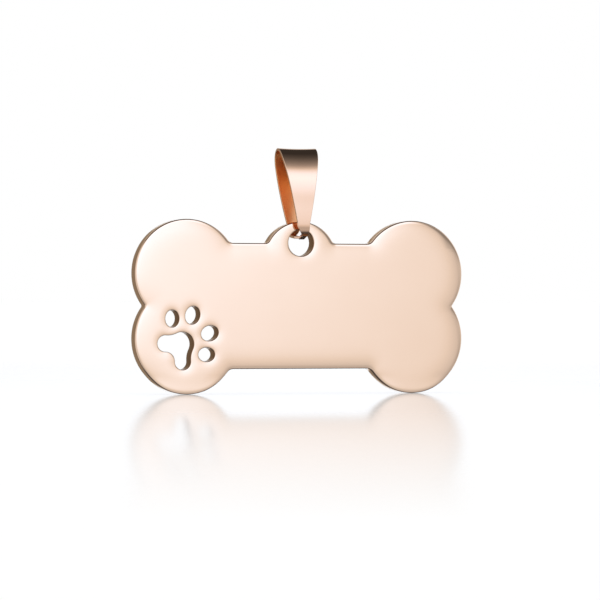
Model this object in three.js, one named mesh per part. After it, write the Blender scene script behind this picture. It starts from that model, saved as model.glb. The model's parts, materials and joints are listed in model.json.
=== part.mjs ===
// Bone-shaped pet tag: a polished plate with a paw cut-out, hung on a folded snap bail.
// Millimetres, +Z up. The plate hangs in the XZ plane with its front towards -Y.
// The origin is the inside top of the bail's loop, where a collar ring bears.
import * as THREE from "three";
import { mergeVertices } from "three/addons/utils/BufferGeometryUtils.js";

// Plate outline, measured from the middle of the bone
const BONE_LENGTH = 40.0;
const BONE_HEIGHT = 19.95;
const WAIST_HEIGHT = 14.5;
const LOBE_RADIUS = 6.22;
const NECK_FILLET = 0.9;
const NOTCH_FILLET = 0.25;
const PLATE_THICKNESS = 1.9;
const EDGE_ROUND = 0.12;

// Hanging ear: how far it rises above the straight top edge, and the rim of metal over its hole
const EAR_RISE = 2.5;
const EAR_RADIUS = 4.4;
const EAR_FILLET = 0.6;
const RIM_HEIGHT = 0.9;
const HOLE_RADIUS = 1.54;

// Paw cut-out: the middle of its pad lies a little outwards from the middle of the lower left lobe,
// and its own axis runs up and to the right from there
const PAW_OUT = 0.6;
const PAW_DOWN = 0.62;
const PAW_TURN = THREE.MathUtils.degToRad(45);
const PAD_RADIUS = 1.4;
const HEEL_RADIUS = 0.94;
const HEEL_BACK = 1.37;
const HEEL_SPREAD = 1.475;
const PAD_SIDE_FILLET = 0.9;
const PAD_HEEL_FILLET = 1.1;
const TOE_LENGTH = 2.1;
const TOE_WIDTH = 1.74;
const INNER_TOE_AHEAD = 3.22;
const INNER_TOE_SPREAD = 1.465;
const INNER_TOE_SPLAY = THREE.MathUtils.degToRad(28);
const OUTER_TOE_AHEAD = 1.22;
const OUTER_TOE_SPREAD = 2.92;
const OUTER_TOE_SPLAY = THREE.MathUtils.degToRad(45);

// Bail: one strip, wide at the crown and folded over, whose feet bend in and pass through the hole.
// Each foot is cut back to a prong on its own side, so that the two prongs lie side by side.
const STRIP_THICKNESS = 0.3;
const STRIP_EDGE = 0.1;
const CROWN_RISE = 8.9;
const CROWN_HEIGHT = 3.75;
const BAIL_DEPTH = 4.2;
const CROWN_WIDTH = 4.6;
const CROWN_BLEND = 2.5;
const FOOT_WIDTH = 1.5;
const PRONG_GAP = 0.12;
const PRONG_PASS = 0.4;
const PRONG_SLOPE = THREE.MathUtils.degToRad(12);
const BEND_RADIUS = 0.55;
const LEG_SLANT = THREE.MathUtils.degToRad(2.5);
const BAIL_LEAN = THREE.MathUtils.degToRad(6.5);

// Room between the turning rim of the ear and the prongs below it
const PRONG_CLEARANCE = 0.05;

// Finish
const ROSE_GOLD = 0xf0cdb6;
const PLATE_ROUGHNESS = 0.08;
const BAIL_ROUGHNESS = 0.1;

// Fineness of the facets
const CHORD_ERROR = 0.01;
const SAME_POINT = 0.001;
const FEWEST_ARC_STEPS = 4;
const EDGE_STEPS = 3;
const STRIP_CORNER_STEPS = 2;
const STRIP_STEP = 0.7;

// Worked out from the values above. Heights on the plate are from the middle of the bone,
// and those on the bail from the hinge axis, which is the middle of the rim.
const lobeX = BONE_LENGTH / 2 - LOBE_RADIUS;
const lobeZ = BONE_HEIGHT / 2 - LOBE_RADIUS;
const edgeZ = WAIST_HEIGHT / 2;
const earTop = edgeZ + EAR_RISE;
const holeHeight = earTop - RIM_HEIGHT - HOLE_RADIUS;
const hingeHeight = earTop - RIM_HEIGHT / 2;
const rimBelow = hingeHeight - holeHeight - Math.sqrt(HOLE_RADIUS ** 2 - FOOT_WIDTH ** 2 / 4);
const rimReach = EDGE_ROUND + Math.hypot(PLATE_THICKNESS / 2 - EDGE_ROUND, rimBelow - EDGE_ROUND);
const prongDepth = rimReach + PRONG_CLEARANCE + STRIP_THICKNESS / 2;
const crownReach = (BAIL_DEPTH - STRIP_THICKNESS) / 2;
const crownArch = CROWN_HEIGHT - STRIP_THICKNESS / 2;
const crownCentre = CROWN_RISE - CROWN_HEIGHT;
const loopTop = CROWN_RISE - STRIP_THICKNESS;

function roseGold(roughness) {
  return new THREE.MeshStandardMaterial({ color: ROSE_GOLD, metalness: 1.0, roughness });
}

// The points of a plane curve, close enough that its chords stay within CHORD_ERROR of it
function curvePoints(curve, radius) {
  const turn = 2 * Math.acos(1 - CHORD_ERROR / radius);
  const steps = Math.ceil(curve.getLength() / radius / turn);
  return curve.getPoints(Math.max(FEWEST_ARC_STEPS, steps));
}

// Joins circles into one closed outline, anticlockwise. Neighbours touch each other,
// or share a straight edge that lies in the same direction from both centres.
// A hollow circle lies outside the outline and makes a fillet.
function tangentOutline(circles) {
  const touch = (circle, other) => {
    if (circle.edge !== undefined && circle.edge === other.edge) return circle.edge;
    return Math.atan2(other.y - circle.y, other.x - circle.x);
  };
  const points = [];
  circles.forEach((circle, i) => {
    const start = touch(circle, circles.at(i - 1));
    const end = touch(circle, circles[(i + 1) % circles.length]);
    const arc = new THREE.ArcCurve(circle.x, circle.y, circle.r, start, end, Boolean(circle.hollow));
    points.push(...curvePoints(arc, circle.r));
  });
  return points.filter((point, i) => point.distanceTo(points.at(i - 1)) > SAME_POINT);
}

// The circle of the given radius that touches two others from outside, to the right of a going to b
function filletBetween(a, b, radius) {
  const span = Math.hypot(b.x - a.x, b.y - a.y);
  const reachA = a.r + radius;
  const reachB = b.r + radius;
  const along = (span * span + reachA * reachA - reachB * reachB) / (2 * span);
  const aside = Math.sqrt(reachA * reachA - along * along);
  const [ux, uy] = [(b.x - a.x) / span, (b.y - a.y) / span];
  return { x: a.x + ux * along + uy * aside, y: a.y + uy * along - ux * aside, r: radius, hollow: true };
}

function boneOutline() {
  const lobe = (right, up) => ({ x: right * lobeX, y: up * lobeZ, r: LOBE_RADIUS });
  const ear = { x: 0, y: earTop - EAR_RADIUS, r: EAR_RADIUS };
  // A fillet that sits on the straight top or bottom edge and touches a rounder form beside it
  const onEdge = (form, side, up, radius) => {
    const y = up * (edgeZ + radius);
    const reach = Math.sqrt((form.r + radius) ** 2 - (y - form.y) ** 2);
    return { x: form.x + side * reach, y, r: radius, hollow: true, edge: (-up * Math.PI) / 2 };
  };
  const neck = (right, up) => onEdge(lobe(right, up), -right, up, NECK_FILLET);
  return tangentOutline([
    filletBetween(lobe(1, -1), lobe(1, 1), NOTCH_FILLET), lobe(1, 1), neck(1, 1),
    onEdge(ear, 1, 1, EAR_FILLET), ear, onEdge(ear, -1, 1, EAR_FILLET),
    neck(-1, 1), lobe(-1, 1), filletBetween(lobe(-1, 1), lobe(-1, -1), NOTCH_FILLET), lobe(-1, -1),
    neck(-1, -1), neck(1, -1), lobe(1, -1),
  ]);
}

// Paw places are given ahead along its axis and across to its right
function pawPlace(ahead, across) {
  const place = new THREE.Vector2(ahead, -across).rotateAround(new THREE.Vector2(), PAW_TURN);
  return { x: place.x - lobeX - PAW_OUT, y: place.y - lobeZ - PAW_DOWN };
}

function padOutline() {
  const pad = { ...pawPlace(0, 0), r: PAD_RADIUS };
  const heel = (side) => ({ ...pawPlace(-HEEL_BACK, side * HEEL_SPREAD), r: HEEL_RADIUS });
  const [left, right] = [heel(-1), heel(1)];
  return tangentOutline([
    pad, filletBetween(pad, left, PAD_SIDE_FILLET), left, filletBetween(left, right, PAD_HEEL_FILLET),
    right, filletBetween(right, pad, PAD_SIDE_FILLET),
  ]);
}

function toeOutline(ahead, across, splay) {
  const { x, y } = pawPlace(ahead, across);
  const turn = PAW_TURN - Math.sign(across) * splay;
  const oval = new THREE.EllipseCurve(x, y, TOE_LENGTH / 2, TOE_WIDTH / 2, 0, 2 * Math.PI, false, turn);
  return curvePoints(oval, TOE_WIDTH / 2).slice(0, -1);
}

// The plate is cut out of sheet with its holes, and its edges are rounded on both faces
function plateGeometry() {
  const hole = new THREE.ArcCurve(0, holeHeight, HOLE_RADIUS, 0, 2 * Math.PI);
  const cutOuts = [curvePoints(hole, HOLE_RADIUS).slice(0, -1), padOutline()];
  for (const side of [-1, 1]) {
    cutOuts.push(toeOutline(INNER_TOE_AHEAD, side * INNER_TOE_SPREAD, INNER_TOE_SPLAY));
    cutOuts.push(toeOutline(OUTER_TOE_AHEAD, side * OUTER_TOE_SPREAD, OUTER_TOE_SPLAY));
  }
  const bone = new THREE.Shape(boneOutline());
  bone.holes = cutOuts.map((points) => new THREE.Path(points));
  const depth = PLATE_THICKNESS - 2 * EDGE_ROUND;
  const sheet = new THREE.ExtrudeGeometry(bone, {
    depth, bevelEnabled: true, bevelSegments: EDGE_STEPS,
    bevelThickness: EDGE_ROUND, bevelSize: EDGE_ROUND, bevelOffset: -EDGE_ROUND,
  });
  sheet.translate(0, 0, -depth / 2);
  sheet.rotateX(Math.PI / 2);
  return closedMesh(sheet);
}

// Where two lines cross, each given by a point and a direction
function crossing(p, u, q, v) {
  const along = q.clone().sub(p).cross(v) / u.cross(v);
  return p.clone().addScaledVector(u, along);
}

// The middle line of the folded strip, seen from +X with y to the right, about the hinge axis.
// The crown is a tall oval that runs past its widest place until it lies along the legs.
// All is worked out for the back half and mirrored for the front half.
function bailPath() {
  const at = (y, z) => new THREE.Vector2(y, z);
  const legOut = at(Math.cos(LEG_SLANT), -Math.sin(LEG_SLANT));
  const legDown = at(-Math.sin(LEG_SLANT), -Math.cos(LEG_SLANT));
  const prongUnder = at(Math.sin(PRONG_SLOPE), -Math.cos(PRONG_SLOPE));
  const prongOut = at(Math.cos(PRONG_SLOPE), Math.sin(PRONG_SLOPE));
  const crownEnd = Math.atan((Math.tan(LEG_SLANT) * crownArch) / crownReach);
  const legTop = at(crownReach * Math.cos(crownEnd), crownCentre - crownArch * Math.sin(crownEnd));
  const prongLine = prongUnder.clone().multiplyScalar(prongDepth);
  const bendCentre = crossing(
    legTop.clone().addScaledVector(legOut, -BEND_RADIUS), legDown,
    prongLine.clone().addScaledVector(prongUnder, -BEND_RADIUS), prongOut,
  );
  const legFoot = bendCentre.clone().addScaledVector(legOut, BEND_RADIUS);
  const bendEnd = bendCentre.clone().addScaledVector(prongUnder, BEND_RADIUS);
  const tip = crossing(prongLine, prongOut, at(-PRONG_PASS, 0), at(0, 1));
  const mirrored = (point) => at(-point.x, point.y);
  const bendFrom = -LEG_SLANT;
  const bendTo = PRONG_SLOPE - Math.PI / 2;
  const path = new THREE.CurvePath();
  path.add(new THREE.LineCurve(mirrored(tip), mirrored(bendEnd)));
  path.add(new THREE.ArcCurve(
    -bendCentre.x, bendCentre.y, BEND_RADIUS, Math.PI - bendTo, Math.PI - bendFrom, true,
  ));
  path.add(new THREE.LineCurve(mirrored(legFoot), mirrored(legTop)));
  path.add(new THREE.EllipseCurve(
    0, crownCentre, crownReach, crownArch, Math.PI + crownEnd, -crownEnd, true,
  ));
  path.add(new THREE.LineCurve(legTop, legFoot));
  path.add(new THREE.ArcCurve(bendCentre.x, bendCentre.y, BEND_RADIUS, bendFrom, bendTo, true));
  path.add(new THREE.LineCurve(bendEnd, tip));
  return path;
}

// The two edges of the flat strip at a distance along it: straight tapers that round over at the crown,
// then a cut in the bend that leaves the front prong on the right and the back one on the left
function stripEdges(path, distance) {
  const [prong, bend] = path.curves.map((curve) => curve.getLength());
  const fromCrown = distance - path.getLength() / 2;
  const apart = Math.abs(fromCrown);
  const footReach = path.getLength() / 2 - prong - bend;
  const taper = (CROWN_WIDTH - FOOT_WIDTH) / (footReach - CROWN_BLEND / 2);
  const rounding = apart < CROWN_BLEND ? apart ** 2 / (2 * CROWN_BLEND) : apart - CROWN_BLEND / 2;
  const outer = Math.max(CROWN_WIDTH - taper * rounding, FOOT_WIDTH) / 2;
  const cut = THREE.MathUtils.smoothstep(apart, footReach, footReach + bend);
  const inner = THREE.MathUtils.lerp(outer, -PRONG_GAP / 2, cut);
  return fromCrown < 0 ? { left: -inner, right: outer } : { left: -outer, right: inner };
}

// One section of the strip: a flat bar with rounded corners, as [across, out] pairs
function stripSection({ left, right }) {
  const rise = STRIP_THICKNESS / 2 - STRIP_EDGE;
  const corners = [
    { x: right - STRIP_EDGE, y: -rise, from: -Math.PI / 2 },
    { x: right - STRIP_EDGE, y: rise, from: 0 },
    { x: left + STRIP_EDGE, y: rise, from: Math.PI / 2 },
    { x: left + STRIP_EDGE, y: -rise, from: Math.PI },
  ];
  return corners.flatMap(({ x, y, from }) => {
    const round = new THREE.ArcCurve(x, y, STRIP_EDGE, from, from + Math.PI / 2);
    return round.getPoints(STRIP_CORNER_STEPS);
  });
}

// Places along the strip with the middle line's point, its outward direction and its distance
function stripStations(path) {
  const stations = [];
  let travelled = 0;
  path.curves.forEach((curve, i) => {
    const length = curve.getLength();
    const arcSteps = curve.isEllipseCurve ? curvePoints(curve, curve.xRadius).length - 1 : 0;
    const steps = Math.max(arcSteps, Math.ceil(length / STRIP_STEP));
    for (let step = i === 0 ? 0 : 1; step <= steps; step += 1) {
      const share = step / steps;
      const along = curve.getTangentAt(share);
      const out = new THREE.Vector2(-along.y, along.x);
      stations.push({ point: curve.getPointAt(share), out, distance: travelled + share * length });
    }
    travelled += length;
  });
  return stations;
}

// The strip is lofted through its sections along the folded middle line
function bailGeometry() {
  const path = bailPath();
  const rings = stripStations(path).map(({ point, out, distance }) => {
    const section = stripSection(stripEdges(path, distance));
    return section.map(({ x, y }) => [x, point.x + out.x * y, point.y + out.y * y]);
  });
  const sides = rings[0].length;
  const index = [];
  for (let ring = 0; ring < rings.length - 1; ring += 1) {
    for (let side = 0; side < sides; side += 1) {
      const here = ring * sides + side;
      const beside = ring * sides + ((side + 1) % sides);
      index.push(here, here + sides, beside + sides, here, beside + sides, beside);
    }
  }
  const last = (rings.length - 1) * sides;
  for (let side = 1; side < sides - 1; side += 1) {
    index.push(0, side, side + 1);
    index.push(last, last + side + 1, last + side);
  }
  const strip = new THREE.BufferGeometry();
  strip.setAttribute("position", new THREE.Float32BufferAttribute(rings.flat(2), 3));
  strip.setIndex(index);
  return strip;
}

// Keeps only the positions and joins the corners that triangles share
function closedMesh(geometry) {
  geometry.deleteAttribute("normal");
  geometry.deleteAttribute("uv");
  return mergeVertices(geometry);
}

const plate = new THREE.Mesh(plateGeometry(), roseGold(PLATE_ROUGHNESS));
plate.name = "bone_plate";
plate.position.z = -hingeHeight;

const bail = new THREE.Mesh(bailGeometry(), roseGold(BAIL_ROUGHNESS));
bail.name = "snap_bail";
bail.rotation.x = -BAIL_LEAN;

const tag = new THREE.Group();
tag.add(plate, bail);
tag.position.set(0, -loopTop * Math.sin(BAIL_LEAN), -loopTop * Math.cos(BAIL_LEAN));

const part = new THREE.Group();
part.add(tag);

export default part;
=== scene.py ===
# %% [markdown]
# # A bone-shaped pet tag
# The tag has two pieces: a polished metal plate with a paw cut out of it, and a folded snap bail
# that carries it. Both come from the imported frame, which says where they are and how they move.
# This lesson dresses them: it remakes each piece with a finer surface, gives both a polished
# rose-gold finish, and sets up the light and the camera.

# %% Load the frame and keep its box
import json
import math
from collections import namedtuple

import bmesh
import bpy
import numpy as np
from mathutils import Matrix, Vector
from mathutils.geometry import delaunay_2d_cdt


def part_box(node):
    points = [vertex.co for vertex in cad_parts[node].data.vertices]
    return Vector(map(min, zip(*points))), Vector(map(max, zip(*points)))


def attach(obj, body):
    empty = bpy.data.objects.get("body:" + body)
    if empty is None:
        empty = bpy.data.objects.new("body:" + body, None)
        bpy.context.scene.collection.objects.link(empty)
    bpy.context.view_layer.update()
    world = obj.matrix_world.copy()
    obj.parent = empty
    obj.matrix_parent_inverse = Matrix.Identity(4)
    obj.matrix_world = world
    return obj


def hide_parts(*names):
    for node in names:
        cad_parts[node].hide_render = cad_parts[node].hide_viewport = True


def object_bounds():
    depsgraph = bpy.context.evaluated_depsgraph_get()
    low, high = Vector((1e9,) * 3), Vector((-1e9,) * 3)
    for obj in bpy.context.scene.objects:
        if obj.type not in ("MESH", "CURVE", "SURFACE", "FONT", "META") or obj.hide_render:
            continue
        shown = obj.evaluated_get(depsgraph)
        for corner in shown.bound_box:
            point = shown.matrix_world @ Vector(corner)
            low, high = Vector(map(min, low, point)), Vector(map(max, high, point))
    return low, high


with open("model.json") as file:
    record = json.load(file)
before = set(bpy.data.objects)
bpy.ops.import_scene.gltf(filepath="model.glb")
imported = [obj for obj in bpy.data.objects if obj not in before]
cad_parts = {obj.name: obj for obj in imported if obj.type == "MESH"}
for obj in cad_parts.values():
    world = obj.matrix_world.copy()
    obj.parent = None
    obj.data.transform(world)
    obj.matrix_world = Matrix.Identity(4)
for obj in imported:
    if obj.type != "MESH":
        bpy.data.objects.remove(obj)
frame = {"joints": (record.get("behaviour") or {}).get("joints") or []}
cad_low, cad_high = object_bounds()
MM = 0.001
plate_low, plate_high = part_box("bone_plate")
plate_middle = (plate_low + plate_high) / 2
hinge = Vector(frame["joints"][0]["pos_m"])
print("CAD box in mm:", [round(side / MM, 2) for side in cad_high - cad_low])

# %% [markdown]
# ## The camera
# The photograph looks at the tag from a little to its left, level with the middle of the plate.
# A long lens keeps the two ends of the bone nearly the same size. The camera stands back from the
# middle of the plate's front face, and the small offsets are the photograph's framing.

# %% Place the camera
VIEW_TURN = math.radians(19.145)
VIEW_ROLL = math.radians(0.095)
VIEW_DISTANCE = 434.8 * MM
FOCAL_PIXELS = 3760
FRAME_PIXELS = 600
AXIS_LEFT = 0.145 * MM
AXIS_UP = 0.703 * MM


def place_camera():
    camera = bpy.data.objects.new("camera", bpy.data.cameras.new("camera"))
    camera.data.lens = camera.data.sensor_width * FOCAL_PIXELS / FRAME_PIXELS
    back = Vector((-math.sin(VIEW_TURN), -math.cos(VIEW_TURN), 0))
    right = Vector((math.cos(VIEW_TURN), -math.sin(VIEW_TURN), 0))
    target = Vector((plate_middle.x, plate_low.y, plate_middle.z + AXIS_UP)) - right * AXIS_LEFT
    camera.location = target + back * VIEW_DISTANCE
    upright = Matrix.Rotation(-VIEW_TURN, 4, "Z") @ Matrix.Rotation(math.pi / 2, 4, "X")
    camera.rotation_euler = (upright @ Matrix.Rotation(VIEW_ROLL, 4, "Z")).to_euler()
    bpy.context.collection.objects.link(camera)
    bpy.context.scene.camera = camera
    return camera


camera = place_camera()
print("camera lens in mm:", round(camera.data.lens, 1))

# %% [markdown]
# ## Chains of touching circles
# A stamping die for such a plate is drawn with arcs that run smoothly into each other. The outline
# could be drawn by hand as a Bezier curve, but a chain of touching circles keeps every join smooth
# by rule. Each circle runs from where it touches the one before to where it touches the one after.
# A hollow one is a fillet, and one that lies along a straight edge names the direction of that edge.
# Sizes in these outlines are in millimetres, across and up from the middle of the plate.

# %% Chain touching circles
OUTLINE_STEP = 0.16
FEWEST_STEPS = 6

Round = namedtuple("Round", "x z r hollow edge", defaults=(False, None))


def arc_points(x, z, r, start, end, clockwise=False):
    """Points of an arc, close enough together for the mirror finish, without its last point."""
    sweep = (start - end) % math.tau if clockwise else (end - start) % math.tau
    sweep = sweep or math.tau
    steps = max(FEWEST_STEPS, math.ceil(sweep * r / OUTLINE_STEP))
    turn = start + np.arange(steps) / steps * (-sweep if clockwise else sweep)
    return np.column_stack([x + r * np.cos(turn), z + r * np.sin(turn)])


def straight_points(start, end):
    """Points along a straight edge, without its last point."""
    steps = math.ceil(np.linalg.norm(end - start) / OUTLINE_STEP)
    return start + np.outer(np.arange(steps) / steps, end - start)


def chain(rounds):
    """A closed anticlockwise outline. Neighbours touch, or share the straight edge they both name."""
    def share_edge(one, other):
        return one.edge is not None and one.edge == other.edge

    def touch(one, other):
        if share_edge(one, other):
            return one.edge
        return math.atan2(other.z - one.z, other.x - one.x)

    def place(one, turn):
        return np.array([one.x + one.r * math.cos(turn), one.z + one.r * math.sin(turn)])

    parts = []
    for before, one, after in zip(rounds[-1:] + rounds, rounds, rounds[1:] + rounds[:1]):
        end = touch(one, after)
        parts.append(arc_points(one.x, one.z, one.r, touch(one, before), end, one.hollow))
        if share_edge(one, after):
            parts.append(straight_points(place(one, end), place(after, end)))
    return np.vstack(parts)


def fillet_between(a, b, r):
    """The circle of radius r that touches a and b from outside, to the right of a going to b."""
    span = math.hypot(b.x - a.x, b.z - a.z)
    along = (span ** 2 + (a.r + r) ** 2 - (b.r + r) ** 2) / (2 * span)
    aside = math.sqrt((a.r + r) ** 2 - along ** 2)
    ux, uz = (b.x - a.x) / span, (b.z - a.z) / span
    return Round(a.x + ux * along + uz * aside, a.z + uz * along - ux * aside, r, True)


print("outline step in mm:", OUTLINE_STEP)

# %% [markdown]
# ## The outline of the bone
# The bone is four round lobes and a hanging ear, with small fillets where they meet the straight
# edges and a notch between the lobes of each end. The bottoms of the lower lobes are then drawn down
# a hair, because they stand that much lower in the photograph, and the floor follows them.

# %% Outline the bone
LOBE_RADIUS = 6.22
WAIST_HEIGHT = 14.5
NECK_FILLET = 0.9
NOTCH_FILLET = 0.25
EAR_RISE = 2.5
EAR_RADIUS = 4.4
EAR_FILLET = 0.6
RIM_HEIGHT = 0.9
HOLE_RADIUS = 1.54
FOOT_FROM = 7.6
FOOT_DROP = 0.16

bone_length = (plate_high.x - plate_low.x) / MM
bone_height = (plate_high.z - plate_low.z) / MM
sheet_thickness = (plate_high.y - plate_low.y) / MM
lobe_x = bone_length / 2 - LOBE_RADIUS
lobe_z = bone_height / 2 - LOBE_RADIUS
edge_z = WAIST_HEIGHT / 2
ear_top = edge_z + EAR_RISE
hole_z = ear_top - RIM_HEIGHT - HOLE_RADIUS
floor_z = cad_low.z - FOOT_DROP * MM


def bone_outline():
    def lobe(right, up):
        return Round(right * lobe_x, up * lobe_z, LOBE_RADIUS)

    def on_edge(form, side, up, r):
        z = up * (edge_z + r)
        reach = math.sqrt((form.r + r) ** 2 - (z - form.z) ** 2)
        return Round(form.x + side * reach, z, r, True, -up * math.pi / 2)

    def neck(right, up):
        return on_edge(lobe(right, up), -right, up, NECK_FILLET)

    ear = Round(0, ear_top - EAR_RADIUS, EAR_RADIUS)
    return chain([
        fillet_between(lobe(1, -1), lobe(1, 1), NOTCH_FILLET), lobe(1, 1), neck(1, 1),
        on_edge(ear, 1, 1, EAR_FILLET), ear, on_edge(ear, -1, 1, EAR_FILLET),
        neck(-1, 1), lobe(-1, 1), fillet_between(lobe(-1, 1), lobe(-1, -1), NOTCH_FILLET), lobe(-1, -1),
        neck(-1, -1), neck(1, -1), lobe(1, -1),
    ])


def with_lower_feet(points):
    """Draws the bottoms of the lower lobes down, fading smoothly up their sides."""
    share = np.clip((-points[:, 1] - FOOT_FROM) / (bone_height / 2 - FOOT_FROM), 0, 1)
    points[:, 1] -= FOOT_DROP * share ** 2 * (3 - 2 * share)
    return points


outer = with_lower_feet(bone_outline())
print("points round the bone:", len(outer))

# %% [markdown]
# ## The paw cut-out
# The paw is one three-lobed pad and four oval toes, set in the lower left lobe and turned so that
# the toes point up and to the right. The pad is the same chain of touching circles, and the toes
# are ovals that splay away from the paw's own axis.

# %% Outline the paw and the hanging hole
PAW_OUT = 0.6
PAW_DOWN = 0.62
PAW_TURN = math.radians(45)
PAD_RADIUS = 1.4
HEEL_RADIUS = 0.94
HEEL_BACK = 1.37
HEEL_SPREAD = 1.475
PAD_SIDE_FILLET = 2.6
PAD_HEEL_FILLET = 1.1
TOE_LENGTH = 2.1
TOE_WIDTH = 1.74
INNER_TOE = (3.22, 1.465, math.radians(28))
OUTER_TOE = (1.22, 2.92, math.radians(45))
OUTER_TOE_SHARE = 0.94


def paw_place(ahead, across):
    """Paw places are ahead along its axis and across to its right."""
    x = ahead * math.cos(PAW_TURN) + across * math.sin(PAW_TURN)
    z = ahead * math.sin(PAW_TURN) - across * math.cos(PAW_TURN)
    return x - lobe_x - PAW_OUT, z - lobe_z - PAW_DOWN


def pad_outline():
    pad = Round(*paw_place(0, 0), PAD_RADIUS)
    left, right = [Round(*paw_place(-HEEL_BACK, side * HEEL_SPREAD), HEEL_RADIUS) for side in (-1, 1)]
    return chain([
        pad, fillet_between(pad, left, PAD_SIDE_FILLET), left, fillet_between(left, right, PAD_HEEL_FILLET),
        right, fillet_between(right, pad, PAD_SIDE_FILLET),
    ])


def toe_outline(side, share, ahead, across, splay):
    x, z = paw_place(ahead, side * across)
    turn = PAW_TURN - side * splay
    steps = math.ceil(math.pi * (TOE_LENGTH + TOE_WIDTH) / 2 / OUTLINE_STEP)
    angle = np.arange(steps) / steps * math.tau
    long, wide = share * TOE_LENGTH / 2 * np.cos(angle), share * TOE_WIDTH / 2 * np.sin(angle)
    c, s = math.cos(turn), math.sin(turn)
    return np.column_stack([x + long * c - wide * s, z + long * s + wide * c])


hole = arc_points(0, hole_z, HOLE_RADIUS, 0, 0)
cut_outs = [hole, pad_outline()]
for side in (-1, 1):
    cut_outs += [toe_outline(side, 1, *INNER_TOE), toe_outline(side, OUTER_TOE_SHARE, *OUTER_TOE)]
loops = [outer] + [points[::-1] for points in cut_outs]
print("cut-outs:", len(cut_outs))

# %% [markdown]
# ## Points for a polished face
# Polishing on a soft wheel wears the faces down towards every edge, and that slight roll-off bends
# the reflections along the rim of the bone. A bevel on an extruded curve would give a round edge,
# but a flat face between the edges has no points to bend. So each face is filled with triangles
# through rings of points that follow the edges, close together at first and then further apart.

# %% Measure from the outlines
def into_metal(points):
    """Unit directions from an outline into the metal, which lies on its left."""
    along = np.roll(points, -1, 0) - np.roll(points, 1, 0)
    along /= np.linalg.norm(along, axis=1, keepdims=True)
    return np.column_stack([-along[:, 1], along[:, 0]])


def nearest_edge(points):
    """How far each point is from the nearest outline."""
    found = np.full(len(points), np.inf)
    for loop in loops:
        for start, step in zip(loop, np.roll(loop, -1, 0) - loop):
            share = np.clip((points - start) @ step / (step @ step), 0, 1)
            gap = points - start - share[:, None] * step
            found = np.minimum(found, np.hypot(gap[:, 0], gap[:, 1]))
    return found


def in_metal(points, outlines):
    """Which points lie inside the bone and outside its cut-outs, by counting the edges beside them."""
    inside = np.zeros(len(points), bool)
    for outline in outlines:
        for (x0, z0), (x1, z1) in zip(outline, np.roll(outline, -1, 0)):
            if z0 == z1:
                continue
            level = (z0 > points[:, 1]) != (z1 > points[:, 1])
            inside ^= level & (points[:, 0] < x0 + (points[:, 1] - z0) * (x1 - x0) / (z1 - z0))
    return inside


print("metal at the middle of the hole:", in_metal(np.array([[0, hole_z]]), loops)[0])

# %% Fill a face with triangles
RING_FIRST = 0.2
RING_GROWTH = 1.38
RING_COUNT = 10
RING_SPARE = 0.97
FIELD_STEP = 1.0
INNER_TRIANGLES = 1
POINT_GAP = 1e-6


def field_points():
    """Rings of points that follow the edges, and a coarse grid over the flat middle."""
    kept = []
    offsets = RING_FIRST * RING_GROWTH ** np.arange(RING_COUNT)
    for offset in offsets:
        ring = np.vstack([loop + into_metal(loop) * offset for loop in loops])
        kept.append(ring[nearest_edge(ring) > offset * RING_SPARE])
    across = np.arange(-bone_length / 2, bone_length / 2, FIELD_STEP)
    up = np.arange(-bone_height / 2, bone_height / 2, FIELD_STEP)
    grid = np.stack(np.meshgrid(across, up), -1).reshape(-1, 2)
    grid = grid[in_metal(grid, loops)]
    kept.append(grid[nearest_edge(grid) > offsets[-1] + FIELD_STEP / 2])
    return np.vstack(kept)


def face_triangles(rims, field):
    """Fills the face between its rims, through the field points."""
    points = [Vector(p) for p in np.vstack(rims + [field])]
    edges, first = [], 0
    for rim in rims:
        edges += [(first + i, first + (i + 1) % len(rim)) for i in range(len(rim))]
        first += len(rim)
    made, _, faces, origins, _, _ = delaunay_2d_cdt(points, edges, [], INNER_TRIANGLES, POINT_GAP)
    place = [origin[0] for origin in origins]
    middles = np.array([sum((made[i] for i in face), Vector((0, 0))) / 3 for face in faces])
    return [[place[i] for i in face] for face, solid in zip(faces, in_metal(middles, rims)) if solid]


field = field_points()
print("points on a face:", len(field))

# %% [markdown]
# ## The sheet with its rounded edges
# A plate like this is blanked from sheet, so it has flat faces, square walls and edges that tumbling
# has rounded a little. The walls and rounds are rings of quads between the two faces. Each point also
# keeps how far it has turned from face to wall, for the finish, which makes the walls duller and paints
# shade on them. The outer wall has been polished more than the walls of the cut-outs, and its painted
# shade is lighter, so it counts for less.

# %% Build the sheet
EDGE_ROUND = 0.12
PAW_ROUND = 0.08
EDGE_STEPS = 5
# The outer wall's share of the walls' dullness and painted shade.
OUTER_WALL = 0.35
WALL_TURN = (0.03, 0.4)
half_sheet = sheet_thickness / 2
edge_rounds = [EDGE_ROUND, EDGE_ROUND] + [PAW_ROUND] * (len(loops) - 2)


def wall_profile(r):
    """The wall from the front rim to the back rim, as steps into the metal and depths."""
    turns = np.linspace(0, math.pi / 2, EDGE_STEPS + 1)
    half = [(r * (1 - math.sin(t)), half_sheet - r * (1 - math.cos(t))) for t in turns]
    return half + [(offset, -depth) for offset, depth in reversed(half)]


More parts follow.
